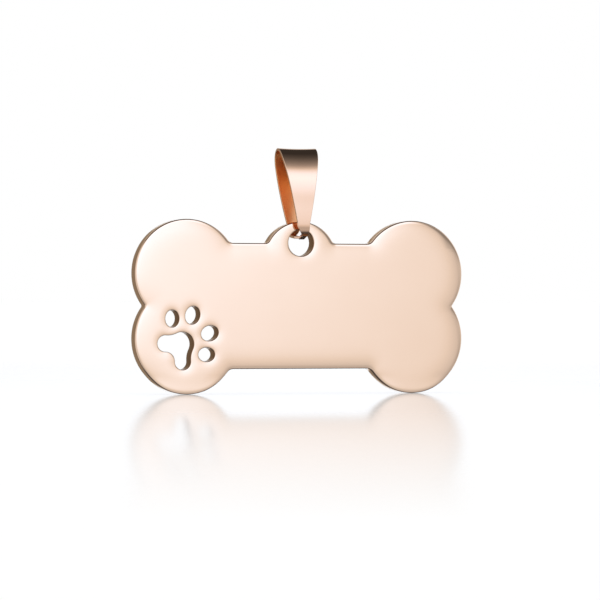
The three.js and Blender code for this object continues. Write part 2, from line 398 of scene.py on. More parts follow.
def sheet_mesh():
    sheet = bmesh.new()

    def corner(x, z, y):
        return sheet.verts.new(plate_middle + Vector((x, y, z)) * MM)

    front, back = [], []
    for loop, r in zip(loops, edge_rounds):
        rings = []
        for offset, depth in wall_profile(r):
            rings.append([corner(*p, -depth) for p in loop + into_metal(loop) * offset])
        for one, other in zip(rings, rings[1:]):
            for i in range(len(one)):
                j = (i + 1) % len(one)
                sheet.faces.new((one[i], one[j], other[j], other[i]))
        front += rings[0]
        back += rings[-1]
    front += [corner(*p, -half_sheet) for p in field]
    back += [corner(*p, half_sheet) for p in field]
    rims = [loop + into_metal(loop) * r for loop, r in zip(loops, edge_rounds)]
    for a, b, c in face_triangles(rims, field):
        sheet.faces.new((front[a], front[b], front[c]))
        sheet.faces.new((back[c], back[b], back[a]))
    bmesh.ops.recalc_face_normals(sheet, faces=sheet.faces)
    for face in sheet.faces:
        face.smooth = True
    mesh = bpy.data.meshes.new("polished_plate")
    sheet.to_mesh(mesh)
    sheet.free()
    return mesh


def mark_walls(mesh):
    """Keeps how far each point has turned from face to wall. The outer wall's points come first."""
    turned = np.array([1 - abs(vertex.normal.y) for vertex in mesh.vertices])
    turned = np.interp(turned, WALL_TURN, (0, 1))
    turned[:len(outer) * len(wall_profile(EDGE_ROUND))] *= OUTER_WALL
    mesh.attributes.new("wall", "FLOAT", "POINT").data.foreach_set("value", turned)


plate = bpy.data.objects.new("polished_plate", sheet_mesh())
mark_walls(plate.data)
bpy.context.collection.objects.link(plate)
print("plate faces:", len(plate.data.polygons))

# %% [markdown]
# ## Nodes and sums
# The shapes and finishes below are built as node trees. These helpers keep them short: they add a
# node and wire or set its inputs, do sums on numbers and on vectors, and map and blend values. The
# same nodes serve for shapes and for shaders.

# %% Define nodes and sums
def add(tree, kind, inputs=None, **settings):
    node = tree.nodes.new(kind)
    for name, value in settings.items():
        setattr(node, name, value)
    for name, value in (inputs or {}).items():
        if isinstance(value, bpy.types.NodeSocket):
            tree.links.new(value, node.inputs[name])
        else:
            node.inputs[name].default_value = value
    return node


def total(tree, operation, *values):
    return add(tree, "ShaderNodeMath", dict(enumerate(values)), operation=operation).outputs[0]


def vector(tree, operation, *values):
    names = [0, "Scale"] if operation == "SCALE" else range(len(values))
    made = add(tree, "ShaderNodeVectorMath", dict(zip(names, values)), operation=operation)
    return made.outputs["Value" if operation == "LENGTH" else "Vector"]


def mapped(tree, value, start, end, low=0.0, high=1.0, way="LINEAR"):
    """Takes a value from the range start to end to the range low to high, and holds it there."""
    return add(tree, "ShaderNodeMapRange", {
        "Value": value, "From Min": start, "From Max": end, "To Min": low, "To Max": high,
    }, interpolation_type=way).outputs[0]


def eased(tree, value, start, end, low=0.0, high=1.0):
    return mapped(tree, value, start, end, low, high, "SMOOTHSTEP")


def blended(tree, factor, a, b):
    return add(tree, "ShaderNodeMix", {"Factor": factor, "A": a, "B": b}).outputs[0]


print("node sums ready")

# %% [markdown]
# ## Running a tree
# A tree that is used as a whole is a node group with named sockets. A modifier runs a geometry tree on
# an object, and its inputs are set by the identifiers of its sockets before the object is evaluated.
# The result is then copied into a plain mesh, so that no modifier is left on the finished piece.

# %% Open a tree, run it and keep its result
SOCKETS = {
    "geometry": "NodeSocketGeometry", "object": "NodeSocketObject", "material": "NodeSocketMaterial",
    "number": "NodeSocketFloat", "vector": "NodeSocketVector",
}


def new_tree(name, kind, inputs, outputs):
    """A node group with named sockets, and its input and output nodes."""
    tree = bpy.data.node_groups.new(name, kind)
    for label, socket in inputs.items():
        tree.interface.new_socket(label, in_out="INPUT", socket_type=SOCKETS[socket])
    for label, socket in outputs.items():
        tree.interface.new_socket(label, in_out="OUTPUT", socket_type=SOCKETS[socket])
    return tree, tree.nodes.new("NodeGroupInput").outputs, tree.nodes.new("NodeGroupOutput")


def grow(thing, tree, values):
    """Runs a geometry tree on an object. Values come by name and are set by the socket's identifier."""
    modifier = thing.modifiers.new(tree.name, "NODES")
    modifier.node_group = tree
    for item in tree.interface.items_tree:
        if item.in_out == "INPUT" and item.name in values:
            modifier[item.identifier] = values[item.name]


def settle(thing, name):
    """Turns an object with its modifiers into a plain mesh object of the given name."""
    graph = bpy.context.evaluated_depsgraph_get()
    mesh = bpy.data.meshes.new_from_object(thing.evaluated_get(graph), depsgraph=graph)
    bpy.data.objects.remove(thing)
    mesh.name = name
    made = bpy.data.objects.new(name, mesh)
    bpy.context.collection.objects.link(made)
    return made


print("kinds of socket:", len(SOCKETS))

# %% [markdown]
# ## The roll-off towards the edges
# Polishing takes a little more off the sheet close to every edge, so its thickness falls away there.
# That is a rule of distance, and Geometry Nodes can measure it: each outline is a loop of edges, the
# Geometry Proximity node says how far a point is from each loop, and the sheet is squeezed towards
# its middle plane by the sum. The bone's outline has a wide roll-off and a short steep one at its very
# rim. The wide one is weaker on the ear round the hanging hole, and towards the feet.

# %% Loop the rims
def rim_loops():
    """All the outlines as loops of edges in the sheet's middle plane, numbered by an attribute."""
    points, edges, numbers = [], [], []
    for number, loop in enumerate(loops):
        first = len(points)
        points += [plate_middle + Vector((x, 0, z)) * MM for x, z in loop]
        edges += [(first + i, first + (i + 1) % len(loop)) for i in range(len(loop))]
        numbers += [number] * len(loop)
    mesh = bpy.data.meshes.new("rims")
    mesh.from_pydata(points, edges, [])
    mesh.attributes.new("loop", "INT", "EDGE").data.foreach_set("value", numbers)
    rims = bpy.data.objects.new("rims", mesh)
    bpy.context.collection.objects.link(rims)
    return rims


rims = rim_loops()
print("edges round the rims:", len(rims.data.edges))

# %% Squeeze the sheet towards its edges
WEAR = {
    "Outer": {"width": 3.2 * MM, "drop": 0.115 * MM},
    "Rim": {"width": 0.55 * MM, "drop": 0.045 * MM},
    "Hole": {"width": 1.3 * MM, "drop": 0.05 * MM},
    "Ear": {"near": 1.0 * MM, "far": 5.0 * MM, "share": 0.78},
    "Foot": {"near": 0.3 * MM, "far": 2.2 * MM, "share": 0.3},
}
ROLL_POWER = 3
HANGING_HOLE = 1
wear_inputs = {f"{part} {size}": value for part, sizes in WEAR.items() for size, value in sizes.items()}


def roll_off_tree():
    tree, given, end = new_tree("roll_off", "GeometryNodeTree", {
        "Sheet": "geometry", "Rims": "object", "Middle": "vector", "Half thickness": "number",
        "Half height": "number", **dict.fromkeys(wear_inputs, "number"), "Metal": "material",
    }, {"Sheet": "geometry"})
    rims = add(tree, "GeometryNodeObjectInfo", {"Object": given["Rims"]}).outputs["Geometry"]
    number = add(tree, "GeometryNodeInputNamedAttribute", {"Name": "loop"}, data_type="INT").outputs[0]
    place = tree.nodes.new("GeometryNodeInputPosition").outputs[0]
    from_middle = vector(tree, "SUBTRACT", place, given["Middle"])
    in_plane = vector(tree, "MULTIPLY", from_middle, (1, 0, 1))
    sample = vector(tree, "ADD", in_plane, given["Middle"])
    gaps = [add(tree, "GeometryNodeProximity", {
        "Geometry": rims, "Group ID": number, "Sample Position": sample, "Sample Group ID": loop,
    }, target_element="EDGES").outputs["Distance"] for loop in range(len(loops))]
    up = add(tree, "ShaderNodeSeparateXYZ", {0: from_middle}).outputs["Z"]
    height = total(tree, "ADD", up, given["Half height"])

    def calm(value, part):
        return eased(tree, value, given[part + " near"], given[part + " far"], given[part + " share"])

    def rolled(gap, part):
        share = total(tree, "SUBTRACT", 1, total(tree, "DIVIDE", gap, given[part + " width"]))
        return total(tree, "POWER", total(tree, "MAXIMUM", share, 0), ROLL_POWER)

    calmed = total(tree, "MULTIPLY", calm(gaps[HANGING_HOLE], "Ear"), calm(height, "Foot"))
    wear_and_shade = total(tree, "MULTIPLY", rolled(gaps[0], "Outer"), calmed)
    wear_and_shade = total(tree, "MULTIPLY", wear_and_shade, given["Outer drop"])
    for gap, part in [(gaps[0], "Rim")] + [(gap, "Hole") for gap in gaps[1:]]:
        wear_and_shade = total(tree, "MULTIPLY_ADD", rolled(gap, part), given[part + " drop"], wear_and_shade)
    squeeze = total(tree, "DIVIDE", wear_and_shade, given["Half thickness"])
    offset = vector(tree, "MULTIPLY", from_middle, (0, -1, 0))
    moved = add(tree, "GeometryNodeSetPosition", {
        "Geometry": given["Sheet"], "Offset": vector(tree, "SCALE", offset, squeeze),
    }).outputs[0]
    real = add(tree, "GeometryNodeRealizeInstances", {"Geometry": moved}).outputs[0]
    dressed = add(tree, "GeometryNodeSetMaterial", {"Geometry": real, "Material": given["Metal"]})
    tree.links.new(dressed.outputs[0], end.inputs["Sheet"])
    return tree


plate_metal = bpy.data.materials.new("plate_rose_gold")
grow(plate, roll_off_tree(), {
    "Rims": rims, "Middle": plate_middle, "Half thickness": half_sheet * MM,
    "Half height": (bone_height / 2 + FOOT_DROP) * MM, **wear_inputs, "Metal": plate_metal,
})
plate = settle(plate, "polished_plate")
bpy.data.objects.remove(rims)
print("plate faces after wear:", len(plate.data.polygons))

# %% [markdown]
# ## The folded snap bail
# The bail is one flat blank, wide in the middle and tapering to both feet, folded over a rod and
# bent in at the feet. Each foot is cut back to a prong on its own side, so that the two prongs pass
# each other inside the plate's hole. First comes the middle line of the fold, seen from the side.
# Springy sheet doesn't fold in straight lines and true arcs: its legs bow and its bends are soft. So
# the line is two cubic curves, one from the crown down the leg and one round the bend, which leave
# and arrive along straight pulls. It is worked out for the back half and mirrored for the front.

# %% Size the fold round the hole's rim
STRIP_THICKNESS = 0.3
FOOT_WIDTH = 1.5
PRONG_CLEARANCE = 0.05
CROWN_RISE = 8.98
CROWN_HEIGHT = 3.75
BAIL_DEPTH = 4.2

rim_below = RIM_HEIGHT / 2 + HOLE_RADIUS - math.sqrt(HOLE_RADIUS ** 2 - FOOT_WIDTH ** 2 / 4)
rim_reach = EDGE_ROUND + math.hypot(half_sheet - EDGE_ROUND, rim_below - EDGE_ROUND)
prong_depth = rim_reach + PRONG_CLEARANCE + STRIP_THICKNESS / 2
crown_reach = (BAIL_DEPTH - STRIP_THICKNESS) / 2
crown_arch = CROWN_HEIGHT - STRIP_THICKNESS / 2
crown_centre = CROWN_RISE - CROWN_HEIGHT
print("prongs below the hinge in mm:", round(prong_depth, 2))

# %% Draw the middle line of the fold
PRONG_PASS = 0.4
PRONG_SLOPE = math.radians(12)
LEG_SLANT = math.radians(2.5)
FOOT_SLANT = math.radians(9)
BEND_RADIUS = 1.0
BEND_REACH = 1.0
BEND_PULL = 0.8
CROWN_PULL = 2.1
LEG_PULL = 3.5
BAIL_LEAN = math.radians(6.5)
FOLD_STEP = 0.05


def crossing(p, u, q, v):
    """Where two lines cross, each given by a point and a direction."""
    along = ((q[0] - p[0]) * v[1] - (q[1] - p[1]) * v[0]) / (u[0] * v[1] - u[1] * v[0])
    return p + along * u


def pulled_curve(start, start_pull, end_pull, end):
    """A cubic curve from start to end, which leaves and arrives along its two pull points."""
    steps = math.ceil(np.linalg.norm(end - start) / FOLD_STEP)
    t = np.linspace(0, 1, steps + 1)[:, None]
    return ((1 - t) ** 3 * start + 3 * (1 - t) ** 2 * t * start_pull
            + 3 * (1 - t) * t ** 2 * end_pull + t ** 3 * end)


def length_of(points):
    return float(np.linalg.norm(np.diff(points, axis=0), axis=1).sum())


def bend_corner(prong_line, prong_under, prong_out):
    """The foot's direction, and the corner where its line would meet the prong's without a bend."""
    leg_out = np.array([math.cos(LEG_SLANT), -math.sin(LEG_SLANT)])
    leg_down = np.array([-math.sin(LEG_SLANT), -math.cos(LEG_SLANT)])
    crown_end = math.atan(math.tan(LEG_SLANT) * crown_arch / crown_reach)
    leg_top = np.array([crown_reach * math.cos(crown_end), crown_centre - crown_arch * math.sin(crown_end)])
    bend = crossing(
        leg_top - leg_out * BEND_RADIUS, leg_down, prong_line - prong_under * BEND_RADIUS, prong_out)
    foot_up = np.array([math.sin(FOOT_SLANT), math.cos(FOOT_SLANT)])
    on_leg = bend + BEND_RADIUS * np.array([math.cos(FOOT_SLANT), -math.sin(FOOT_SLANT)])
    return foot_up, crossing(on_leg, foot_up, prong_line, prong_out)


def back_half():
    """The fold from the crown's top down to the back prong's tip, behind and above the hinge."""
    prong_under = np.array([math.sin(PRONG_SLOPE), -math.cos(PRONG_SLOPE)])
    prong_out = np.array([math.cos(PRONG_SLOPE), math.sin(PRONG_SLOPE)])
    prong_line = prong_under * prong_depth
    tip = crossing(prong_line, prong_out, np.array([-PRONG_PASS, 0]), np.array([0, 1]))
    foot_up, corner = bend_corner(prong_line, prong_under, prong_out)
    top = np.array([0, CROWN_RISE - STRIP_THICKNESS / 2])
    foot = corner + foot_up * BEND_REACH
    heel = corner - prong_out * BEND_REACH
    leg_part = pulled_curve(top, top + [CROWN_PULL, 0], foot + foot_up * LEG_PULL, foot)
    bend_part = pulled_curve(foot, foot - foot_up * BEND_PULL, heel + prong_out * BEND_PULL, heel)
    lengths = {"foot": length_of(leg_part), "bend": length_of(bend_part)}
    return np.vstack([leg_part, bend_part[1:], [tip]]), lengths


def fold_line():
    half, lengths = back_half()
    whole = np.vstack([half[:0:-1] * [-1, 1], half])
    leaned = Matrix.Rotation(-BAIL_LEAN, 3, "X")
    points = [hinge + leaned @ Vector((0, y, z)) * MM for y, z in whole]
    curve = bpy.data.curves.new("fold", "CURVE")
    curve.dimensions = "3D"
    spline = curve.splines.new("POLY")
    spline.points.add(len(points) - 1)
    spline.points.foreach_set("co", [c for p in points for c in (*p, 1)])
    fold = bpy.data.objects.new("fold", curve)
    bpy.context.collection.objects.link(fold)
    return fold, lengths


fold, fold_lengths = fold_line()
print("crown to foot in mm:", round(fold_lengths["foot"], 2))

# %% [markdown]
# ## The edges of the blank
# The strip follows a path and its width follows a rule, which suits Geometry Nodes. The distance from
# the crown gives the two edges of the blank: first straight tapers, rounded over at the crown, and then
# the cut in the bend that leaves a prong on one side. The crown's edges are also lifted a little, as
# a strip's are when it is rolled over a rod.

# %% Rule the edges of the blank
def strip_edges(tree, given, from_crown, apart):
    """How far the blank's left edge is from its middle line, and how wide the blank is there."""
    reach = given["Crown blend"]
    near = total(tree, "MINIMUM", apart, reach)
    rounded = total(tree, "DIVIDE", total(tree, "MULTIPLY", near, near), total(tree, "MULTIPLY", reach, 2))
    fallen = total(tree, "ADD", rounded, total(tree, "SUBTRACT", apart, near))
    run = total(tree, "SUBTRACT", given["Foot reach"], total(tree, "MULTIPLY", reach, 0.5))
    taper = total(tree, "DIVIDE", total(tree, "SUBTRACT", given["Crown width"], given["Foot width"]), run)
    width = total(tree, "SUBTRACT", given["Crown width"], total(tree, "MULTIPLY", taper, fallen))
    wide_side = total(tree, "MULTIPLY", total(tree, "MAXIMUM", width, given["Foot width"]), 0.5)
    bend_end = total(tree, "ADD", given["Foot reach"], given["Bend length"])
    cut = eased(tree, apart, given["Foot reach"], bend_end)
    cut_side = blended(tree, cut, wide_side, total(tree, "MULTIPLY", given["Prong gap"], -0.5))
    front = total(tree, "LESS_THAN", from_crown, 0)
    return blended(tree, front, wide_side, cut_side), total(tree, "ADD", wide_side, cut_side)


def edge_lift(tree, given, apart, across_share):
    """How far a point of the strip is lifted: most at the edges of the crown, fading down the legs."""
    from_middle = total(tree, "MULTIPLY_ADD", across_share, 2, -1)
    fading = total(tree, "SUBTRACT", 1, total(tree, "DIVIDE", apart, given["Lift reach"]))
    fading = total(tree, "POWER", total(tree, "MAXIMUM", fading, 0), 2)
    lift = total(tree, "MULTIPLY", total(tree, "POWER", from_middle, 2), given["Crown lift"])
    return total(tree, "MULTIPLY", lift, fading)


print("edge rules ready")

# %% [markdown]
# ## The strip that follows the fold
# A flat grid is laid along the curve: one way counts the distance from the crown, the other goes
# across the strip. An extrusion gives the thickness, and a Bevel modifier rounds the edges as tumbling
# does. The inside of the strip keeps an attribute, so that the finish can tell this lining from the
# outside.

# %% Fold the strip
CROWN_WIDTH = 4.6
CROWN_BLEND = 2.5
PRONG_GAP = 0.12
CROWN_LIFT = 0.08
LIFT_REACH = 4.0
ALONG_COUNT = 420
ACROSS_COUNT = 13
SEAM_GAP = 0.0001 * MM
STRIP_EDGE = 0.09
EDGE_SEGMENTS = 3
EDGE_ANGLE = math.radians(50)


def strip_tree():
    tree, given, end = new_tree("folded_strip", "GeometryNodeTree", {
        "Fold": "geometry", "Crown width": "number", "Crown blend": "number", "Foot width": "number",
        "Foot reach": "number", "Bend length": "number", "Prong gap": "number", "Thickness": "number",
        "Crown lift": "number", "Lift reach": "number", "Metal": "material",
    }, {"Strip": "geometry"})
    grid = add(tree, "GeometryNodeMeshGrid", {"Vertices X": ALONG_COUNT, "Vertices Y": ACROSS_COUNT})
    share = add(tree, "ShaderNodeSeparateXYZ", {0: grid.outputs["UV Map"]}).outputs
    length = add(tree, "GeometryNodeCurveLength", {0: given["Fold"]}).outputs[0]
    distance = total(tree, "MULTIPLY", share["X"], length)
    from_crown = total(tree, "SUBTRACT", distance, total(tree, "MULTIPLY", length, 0.5))
    apart = total(tree, "ABSOLUTE", from_crown)
    left, wide = strip_edges(tree, given, from_crown, apart)
    across = total(tree, "SUBTRACT", total(tree, "MULTIPLY", share["Y"], wide), left)
    raised = total(tree, "MULTIPLY_ADD", given["Thickness"], -0.5, edge_lift(tree, given, apart, share["Y"]))

    point = add(tree, "GeometryNodeSampleCurve", {"Curves": given["Fold"], "Length": distance}, mode="LENGTH")
    sideways = add(tree, "ShaderNodeCombineXYZ", {"X": across}).outputs[0]
    outward = vector(tree, "CROSS_PRODUCT", (1, 0, 0), point.outputs["Tangent"])
    place = vector(tree, "ADD", point.outputs["Position"], sideways)
    place = vector(tree, "ADD", place, vector(tree, "SCALE", outward, raised))
    inside = add(tree, "GeometryNodeSetPosition", {
        "Geometry": grid.outputs["Mesh"], "Position": place,
    }).outputs[0]
    solid = add(tree, "GeometryNodeExtrudeMesh", {
        "Mesh": inside, "Offset": vector(tree, "SCALE", outward, given["Thickness"]), "Offset Scale": 1.0,
        "Individual": False,
    }, mode="FACES").outputs["Mesh"]
    lining = add(tree, "GeometryNodeStoreNamedAttribute", {
        "Geometry": add(tree, "GeometryNodeFlipFaces", {"Mesh": inside}).outputs[0],
        "Name": "lining", "Value": 1.0,
    }, data_type="FLOAT", domain="FACE").outputs[0]
    both = tree.nodes.new("GeometryNodeJoinGeometry")
    tree.links.new(solid, both.inputs[0])
    tree.links.new(lining, both.inputs[0])
    closed = add(tree, "GeometryNodeMergeByDistance", {"Geometry": both.outputs[0], "Distance": SEAM_GAP})
    smooth = add(tree, "GeometryNodeSetShadeSmooth", {"Geometry": closed.outputs[0]})
    real = add(tree, "GeometryNodeRealizeInstances", {"Geometry": smooth.outputs[0]}).outputs[0]
    dressed = add(tree, "GeometryNodeSetMaterial", {"Geometry": real, "Material": given["Metal"]})
    tree.links.new(dressed.outputs[0], end.inputs["Strip"])
    return tree


def round_edges(thing):
    bevel = thing.modifiers.new("tumbled_edges", "BEVEL")
    bevel.width = STRIP_EDGE * MM
    bevel.segments = EDGE_SEGMENTS
    bevel.limit_method = "ANGLE"
    bevel.angle_limit = EDGE_ANGLE
    bevel.harden_normals = True


bail_metal = bpy.data.materials.new("bail_rose_gold")
grow(fold, strip_tree(), {
    "Crown width": CROWN_WIDTH * MM, "Crown blend": CROWN_BLEND * MM, "Foot width": FOOT_WIDTH * MM,
    "Foot reach": fold_lengths["foot"] * MM, "Bend length": fold_lengths["bend"] * MM,
    "Prong gap": PRONG_GAP * MM, "Thickness": STRIP_THICKNESS * MM, "Crown lift": CROWN_LIFT * MM,
    "Lift reach": LIFT_REACH * MM, "Metal": bail_metal,
})
round_edges(fold)
bail = settle(fold, "folded_bail")
print("bail faces:", len(bail.data.polygons))

# %% [markdown]
# ## Polish marks
# Mirror-polished metal is never quite perfect. The wheel leaves soft cloudy patches, very fine
# hairlines along the polishing direction and a few stray scratches from handling. Both pieces share
# them, so they are one node group, with the amounts as inputs. It gives out a roughness, a height
# for the bump and a mask for the colour, and the shader itself stays in each material.

# %% Build the polish marks group
CLOUD_NOISE = {"Scale": 160.0, "Detail": 3.0, "Roughness": 0.6}
LINE_NOISE = {"Scale": 1.0, "Detail": 2.0, "Roughness": 0.5}
SCRATCH_NOISE = {"Scale": 420.0, "Detail": 0.0, "Distortion": 0.3}
SPARSE_NOISE = {"Scale": 260.0, "Detail": 0.0}
CLOUD_RANGE = (0.35, 0.7)
SPARSE_RANGE = (0.58, 0.66)
SCRATCH_MIDDLE = 0.5
SCRATCH_WIDTH = 0.004
SCRATCH_DULLNESS = 0.05
SCRATCH_HEIGHT = -0.25


def noise(tree, place, settings):
    return add(tree, "ShaderNodeTexNoise", {"Vector": place, **settings}).outputs["Fac"]


def polish_marks():
    tree, given, end = new_tree("polish_marks", "ShaderNodeTree", {
        "Vector": "vector", "Smoothest": "number", "Dullest": "number", "Hairlines": "vector",
    }, {"Roughness": "number", "Height": "number", "Cloud": "number"})
    place = given["Vector"]
    cloud = noise(tree, place, CLOUD_NOISE)
    lines = noise(tree, vector(tree, "MULTIPLY", place, given["Hairlines"]), LINE_NOISE)
    bent = total(tree, "SUBTRACT", noise(tree, place, SCRATCH_NOISE), SCRATCH_MIDDLE)
    scratch = mapped(tree, total(tree, "ABSOLUTE", bent), 0.0, SCRATCH_WIDTH, 1.0, 0.0)
    sparse = mapped(tree, noise(tree, place, SPARSE_NOISE), *SPARSE_RANGE)
    scratch = total(tree, "MULTIPLY", scratch, sparse)
    dull = mapped(tree, cloud, *CLOUD_RANGE, given["Smoothest"], given["Dullest"])
    dull = total(tree, "MULTIPLY_ADD", scratch, SCRATCH_DULLNESS, dull)
    height = total(tree, "MULTIPLY_ADD", scratch, SCRATCH_HEIGHT, lines)
    for name, value in {"Roughness": dull, "Height": height, "Cloud": cloud}.items():
        tree.links.new(value, end.inputs[name])
    return tree


marks = polish_marks()
print("polish marks sockets:", [item.name for item in marks.interface.items_tree])

# %% [markdown]
# ## The rose-gold finish
# The colour is a thin hard coat on steel, so the surface is all metal and its colour is the colour
# of what it reflects. The outsides are mirror bright, and the bail's is set darker than the plate's as
# painted shade. The plate's blanked walls and the lining of the bail are duller, because the polishing
# wheel doesn't reach them well. Their colours are painted light: dark brown painted shade on the walls,
# and on the lining a deep orange painted reflection of light bouncing between the legs. Both are darker
# lower down, the lining much more than the walls. The wall and lining attributes tell the shader where
# they are.

# %% Finish the plate and the bail
PLATE_TONES = (0.93, 0.73, 0.605, 1), (0.91, 0.70, 0.575, 1)
# The bail's rose gold, set darker than the plate's as painted shade.
BAIL_SHADED_TONES = (0.86, 0.61, 0.475, 1), (0.84, 0.585, 0.45, 1)
# Painted shade on the plate's walls: dark brown, a little darker lower down.
WALL_PAINTED_SHADE = (0.28, 0.16, 0.086, 1), (0.29, 0.165, 0.088, 1)
# Painted light on the bail's lining: a deep orange painted reflection of light bouncing between the legs,
# with painted shade lower down.
LINING_PAINTED_LIGHT = (0.86, 0.445, 0.22, 1), (1.0, 0.52, 0.215, 1)
WALL_SHADE_HEIGHTS = (-30 * MM, -8 * MM)
LINING_LIGHT_HEIGHTS = (-5.0 * MM, -2.6 * MM)
PLATE_POLISH, BAIL_POLISH = (0.05, 0.085), (0.05, 0.09)
WALL_ROUGHNESS, LINING_ROUGHNESS = 0.28, 0.29
PLATE_HAIRLINES, BAIL_HAIRLINES = (300, 300, 9000), (9000, 300, 300)
BUMP_DISTANCE = 0.0005 * MM
COLOUR_A, COLOUR_B, COLOUR_RESULT = 6, 7, 2


def mixed_colour(tree, factor, first, second):
    mix = add(tree, "ShaderNodeMix", {"Factor": factor, COLOUR_A: first, COLOUR_B: second}, data_type="RGBA")
    return mix.outputs[COLOUR_RESULT]


def rose_gold(material, tones, polish_range, hairlines, wear_and_shade):
    material.use_nodes = True
    tree = material.node_tree
    shader = tree.nodes["Principled BSDF"]
    shader.inputs["Metallic"].default_value = 1.0
    place = tree.nodes.new("ShaderNodeTexCoord").outputs["Object"]
    polish = add(tree, "ShaderNodeGroup", {
        "Vector": place, "Smoothest": polish_range[0], "Dullest": polish_range[1], "Hairlines": hairlines,
    }, node_tree=marks).outputs
    # The wall and lining attributes set where the dullness and the painted light go.
    amount = add(tree, "ShaderNodeAttribute", attribute_name=wear_and_shade["attribute"]).outputs["Fac"]
    height = add(tree, "ShaderNodeSeparateXYZ", {"Vector": place}).outputs["Z"]
    # Painted light: the walls' painted shade and the lining's painted reflection, darker lower down.
    painted_light = mixed_colour(tree, mapped(tree, height, *wear_and_shade["heights"]), *wear_and_shade["tones"])
    colour = mixed_colour(tree, amount, mixed_colour(tree, polish["Cloud"], *tones), painted_light)
    dull = blended(tree, amount, polish["Roughness"], wear_and_shade["roughness"])
    bump = add(tree, "ShaderNodeBump", {
        "Strength": 1.0, "Distance": BUMP_DISTANCE, "Height": polish["Height"]}).outputs[0]
    tree.links.new(colour, shader.inputs["Base Color"])
    tree.links.new(dull, shader.inputs["Roughness"])
    tree.links.new(bump, shader.inputs["Normal"])


rose_gold(plate_metal, PLATE_TONES, PLATE_POLISH, PLATE_HAIRLINES, {
    "attribute": "wall", "roughness": WALL_ROUGHNESS, "tones": WALL_PAINTED_SHADE, "heights": WALL_SHADE_HEIGHTS})
rose_gold(bail_metal, BAIL_SHADED_TONES, BAIL_POLISH, BAIL_HAIRLINES, {
    "attribute": "lining", "roughness": LINING_ROUGHNESS, "tones": LINING_PAINTED_LIGHT, "heights": LINING_LIGHT_HEIGHTS})
print("finished:", plate_metal.name, bail_metal.name)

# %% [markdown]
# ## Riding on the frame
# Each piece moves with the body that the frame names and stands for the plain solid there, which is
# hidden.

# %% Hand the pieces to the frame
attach(plate, "plate")
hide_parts("bone_plate")
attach(bail, "bail")
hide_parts("snap_bail")
print("pieces:", plate.name, bail.name)

# %% [markdown]
# ## The front panel of the light tent
# Polished metal shows its surroundings, so a studio surrounds it with a tent. This one is a sphere of
# light that only reflections can see. In front it is a tall soft panel: brightest some way above the
# tag, fading below and going dark overhead, and falling off to both sides. The brightness is a rule of
# direction, in degrees round to the right of the front and up from level. Its change with height has
# no simple formula, so it is a colour ramp with pairs of a height and a brightness.

# %% Rule the front panel
PANEL_LEVELS = [
    (-90, 0.12), (-60, 0.3), (-40, 0.62), (-28, 0.6), (-18, 0.57), (-14, 0.67), (-9, 0.82), (-4, 1.055),
    (1, 1.23), (7, 1.355), (13, 1.37), (16, 1.34), (18, 1.33), (20, 1.36), (23, 1.46), (27, 1.56),
    (31, 1.5), (33, 1.34), (35.5, 1.1), (38, 0.67), (41, 0.4), (45, 0.27), (50, 0.18), (55, 0.12),
    (61, 0.078), (67, 0.055), (71, 0.045), (72, 0.085), (74, 0.04), (90, 0.025),
]
BRIGHTEST = 1.6
RIGHT_START = 14.7
RIGHT_FALL = 0.0245
RIGHT_FALL_BY_HEIGHT = 0.0011
FALL_HEIGHTS = (-15, 14)
FALL_GONE = (12, 20)
RIGHT_END = (21, 34)
RIGHT_SHARE = 0.2
END_FROM = (0, 10)
END_TO = (25, 40)
SIDE_LEVELS = (0.5, 0.2)
SIDE_HEIGHT = (2, 12)
LEFT_GAIN = 0.007
LEFT_REACH = 15
LEFT_END = (-30, -5)
LEFT_SHARE = 0.5


def stepped_level(tree, value, stops):
    """A level that runs straight from stop to stop, read off a colour ramp."""
    low, high = stops[0][0], stops[-1][0]
    ramp = add(tree, "ShaderNodeValToRGB", {"Fac": mapped(tree, value, low, high)})
    elements = ramp.color_ramp.elements
    for place, _ in stops[1:-1]:
        elements.new((place - low) / (high - low))
    for element, (_, level) in zip(elements, stops):
        element.color = (*[level / BRIGHTEST] * 3, 1)
    return total(tree, "MULTIPLY", ramp.outputs["Color"], BRIGHTEST)


def clamped(tree, value, low, high):
    return add(tree, "ShaderNodeClamp", {"Value": value, "Min": low, "Max": high}).outputs[0]


def right_share(tree, turn, height):
    """What is left of the panel to the right: a slow fall, then an end at middle heights."""
    fall = total(tree, "MULTIPLY_ADD", clamped(tree, height, *FALL_HEIGHTS), RIGHT_FALL_BY_HEIGHT, RIGHT_FALL)
    fall = total(tree, "MULTIPLY", fall, eased(tree, height, *FALL_GONE, 1.0, 0.0))
    past = total(tree, "MAXIMUM", total(tree, "SUBTRACT", turn, RIGHT_START), 0)
    fallen = total(tree, "SUBTRACT", 1, total(tree, "MULTIPLY", past, fall))
    open_end = total(
        tree, "MAXIMUM", eased(tree, height, *END_FROM, 1.0, 0.0), eased(tree, height, *END_TO))
    ended = total(tree, "MAXIMUM", eased(tree, turn, *RIGHT_END, 1.0, RIGHT_SHARE), open_end)
    least = eased(tree, height, *SIDE_HEIGHT, *SIDE_LEVELS)
    return total(tree, "MAXIMUM", total(tree, "MINIMUM", fallen, ended), least)


def panel_level(tree, turn, height):
    """The panel's level by height, with its share to the right and its gain and end to the left."""
    before = clamped(tree, total(tree, "SUBTRACT", RIGHT_START, turn), 0.0, LEFT_REACH)
    across = total(tree, "MULTIPLY_ADD", before, LEFT_GAIN, right_share(tree, turn, height))
    level = total(tree, "MULTIPLY", stepped_level(tree, height, PANEL_LEVELS), across)
    return total(tree, "MULTIPLY", level, eased(tree, turn, *LEFT_END, LEFT_SHARE, 1.0))


print("panel stops:", len(PANEL_LEVELS))

# %% [markdown]
# ## The rest of the tent
# Beyond the panel a softer fill lights both sides, so that the metal doesn't go black when it is seen
# from there. It is dark overhead and low down. The back is dim and warm, because the walls of the
# hole and of the bone reflect it and are deep brown. One clear zone, low behind the tag on its right,
# is bright again, because the floor's gloss shows it. Bright parts are a little cooler than dark ones.

